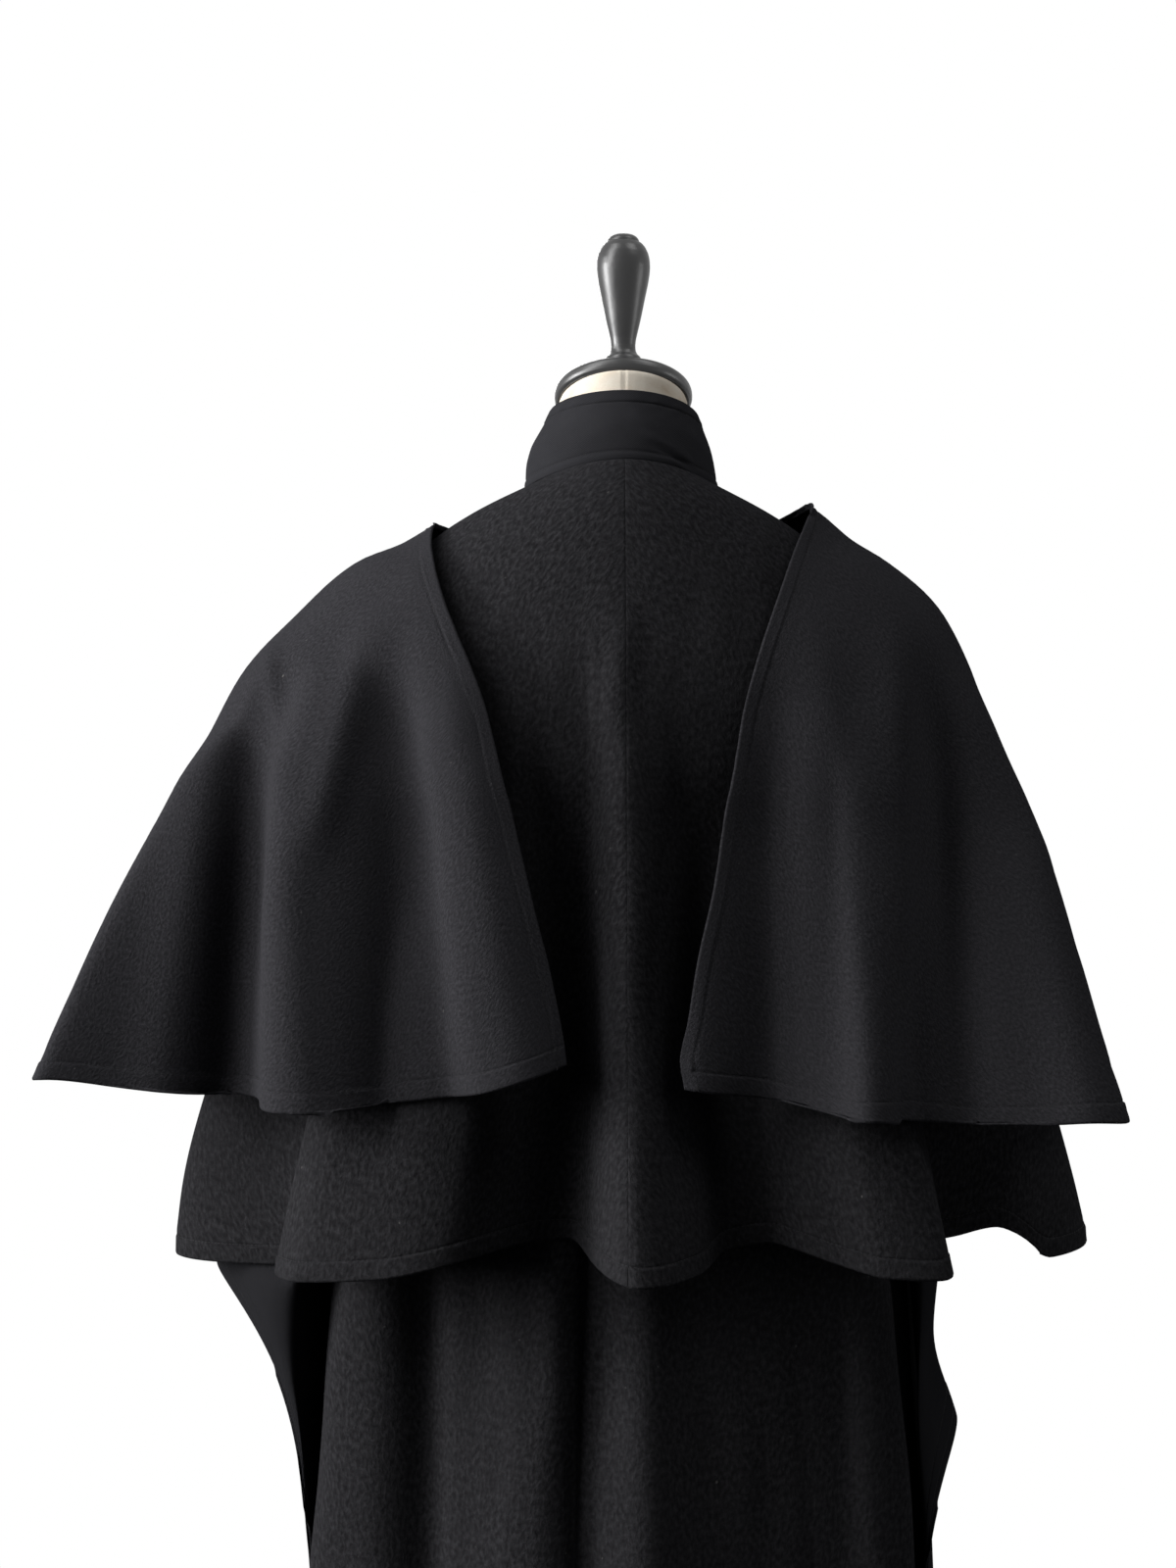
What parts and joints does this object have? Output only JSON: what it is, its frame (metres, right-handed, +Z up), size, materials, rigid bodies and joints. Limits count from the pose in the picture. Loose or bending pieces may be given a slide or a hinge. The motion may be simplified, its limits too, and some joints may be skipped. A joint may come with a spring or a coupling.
{
  "type": "wool cape coat on a dress form",
  "caption": "Long wool coat with a stand collar, a shoulder cape and two upper cape wings, on a limbless dress form with a turned finial, an upright and a round base.",
  "frame": {"origin": "centre of the round base's underside, on the floor", "axes": "+Z up along the stand, the coat's front faces -Y and its wearer's left side is +X"},
  "size_m": [0.8552, 0.476, 1.6041],
  "materials": {
    "wool": "brushed, napped, matt",
    "twill": "fine twill, matt",
    "button": "polished horn look",
    "cream_cover": "plain jersey",
    "black_cap": "black lacquer, satin",
    "black_finial": "black lacquer, satin",
    "black_metal": "satin black"
  },
  "bodies": {
    "root": {"button_1": "button", "button_2": "button", "button_3": "button", "button_4": "button", "button_5": "button", "button_6": "button", "cape_back_left": "wool", "cape_back_right": "wool", "cape_front_left": "wool", "cape_front_right": "wool", "coat_back_left": "wool", "coat_back_right": "wool", "coat_front_left": "wool", "coat_front_right": "wool", "collar": "twill", "form_base": "black_metal", "form_cap": "black_cap", "form_finial": "black_finial", "form_pole": "black_metal", "form_torso": "cream_cover", "sleeve_left": "twill", "sleeve_right": "twill", "wing_left": "wool", "wing_right": "wool"}
  },
  "joints": []
}
